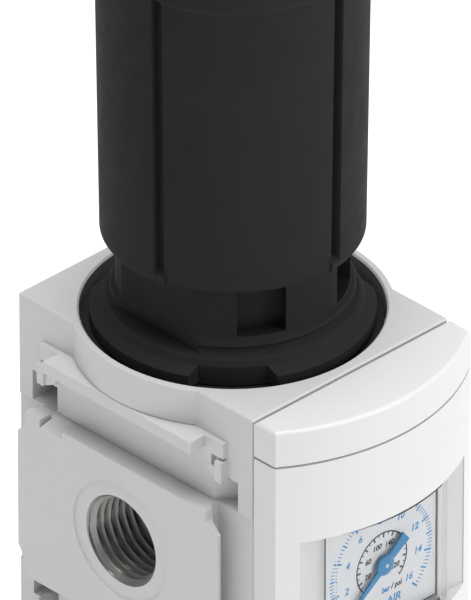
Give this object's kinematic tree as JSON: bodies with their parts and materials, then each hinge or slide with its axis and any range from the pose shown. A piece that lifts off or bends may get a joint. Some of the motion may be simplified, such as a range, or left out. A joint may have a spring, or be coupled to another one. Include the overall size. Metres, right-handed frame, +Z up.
{
  "type": "air pressure regulator",
  "caption": "Compressed-air pressure regulator: block housing with side ports, arched front cover with dial gauge, tall lift-and-turn knob.",
  "frame": {"origin": "centre of the foot's flat underside, on the knob's axis", "axes": "+Z up along the knob's axis; the gauge faces -Y; the ports open along -X and +X"},
  "size_m": [0.0434, 0.0544, 0.1265],
  "materials": {
    "grey_paint": "light grey satin paint on die-cast aluminium",
    "white_plastic": "white fine-grained moulding",
    "black_plastic": "black moulding with a soft sheen",
    "dial_face": "printed white dial",
    "needle_blue": "blue painted pointer",
    "clear_lens": "clear polycarbonate",
    "brass": "turned brass",
    "steel": "turned steel",
    "rubber": "nitrile rubber"
  },
  "bodies": {
    "housing": {"housing": "grey_paint", "front_cover": "white_plastic", "cover_lid": "white_plastic", "gauge_case": "black_plastic", "gauge_dial": "dial_face", "gauge_lens": "clear_lens", "gauge_movement": "brass", "bourdon_tube": "brass", "gauge_stem": "brass", "gauge_seal": "rubber", "gauge_screw_1": "steel", "gauge_screw_2": "steel", "rear_plug": "steel", "rear_plug_seal": "rubber", "bonnet": "black_plastic", "detent_ring": "steel", "clamp_ring": "black_plastic", "diaphragm": "rubber", "thrust_washer": "brass", "main_spring": "steel", "stem_guide": "brass", "valve_seat": "brass", "valve_spring": "steel", "bottom_plug": "black_plastic", "plug_seal": "rubber"},
    "spindle": {"spindle": "steel", "spindle_clip": "steel"},
    "knob": {"knob": "black_plastic", "knob_cap": "black_plastic"},
    "spring_nut": {"spring_nut": "brass"},
    "diaphragm_centre": {"diaphragm_plate": "brass", "diaphragm_washer": "brass"},
    "valve": {"valve_stem": "steel", "valve_rubber": "rubber", "valve_disc": "brass"},
    "needle": {"gauge_needle": "needle_blue", "needle_shaft": "steel"},
    "sector": {"gauge_sector": "brass"}
  },
  "joints": [
    {"name": "spindle_turn", "type": "hinge", "parent": "housing", "child": "spindle", "pos_m": [0, 0, 0.1], "axis": [0, 0, 1], "range_deg": [-1710, 0]},
    {"name": "knob_lift", "type": "slide", "parent": "spindle", "child": "knob", "axis": [0, 0, 1], "range_m": [0, 0.0035]},
    {"name": "nut_travel", "type": "slide", "parent": "housing", "child": "spring_nut", "axis": [0, 0, -1], "range_m": [0, 0.0072], "deforming": ["main_spring"]},
    {"name": "diaphragm_stroke", "type": "slide", "parent": "housing", "child": "diaphragm_centre", "axis": [0, 0, -1], "range_m": [0, 0.0015], "stiffness_N_per_m": 400, "deforming": ["diaphragm", "main_spring"]},
    {"name": "valve_stroke", "type": "slide", "parent": "housing", "child": "valve", "axis": [0, 0, -1], "range_m": [0, 0.0016], "stiffness_N_per_m": 400, "deforming": ["valve_spring"]},
    {"name": "needle_sweep", "type": "hinge", "parent": "housing", "child": "needle", "pos_m": [0, -0.026, 0.03635], "axis": [0, 1, 0], "range_deg": [0, 262], "stiffness_Nm_per_rad": 0.00001},
    {"name": "sector_swing", "type": "hinge", "parent": "housing", "child": "sector", "pos_m": [0, -0.026, 0.03235], "axis": [0, 1, 0], "range_deg": [-26.7, 0]}
  ],
  "couplings": [
    {"joint": "nut_travel", "follows": "spindle_turn", "m_per_rad": -0.00023873},
    {"joint": "valve_stroke", "follows": "diaphragm_stroke", "ratio": 1},
    {"joint": "sector_swing", "follows": "needle_sweep", "ratio": -0.1}
  ]
}
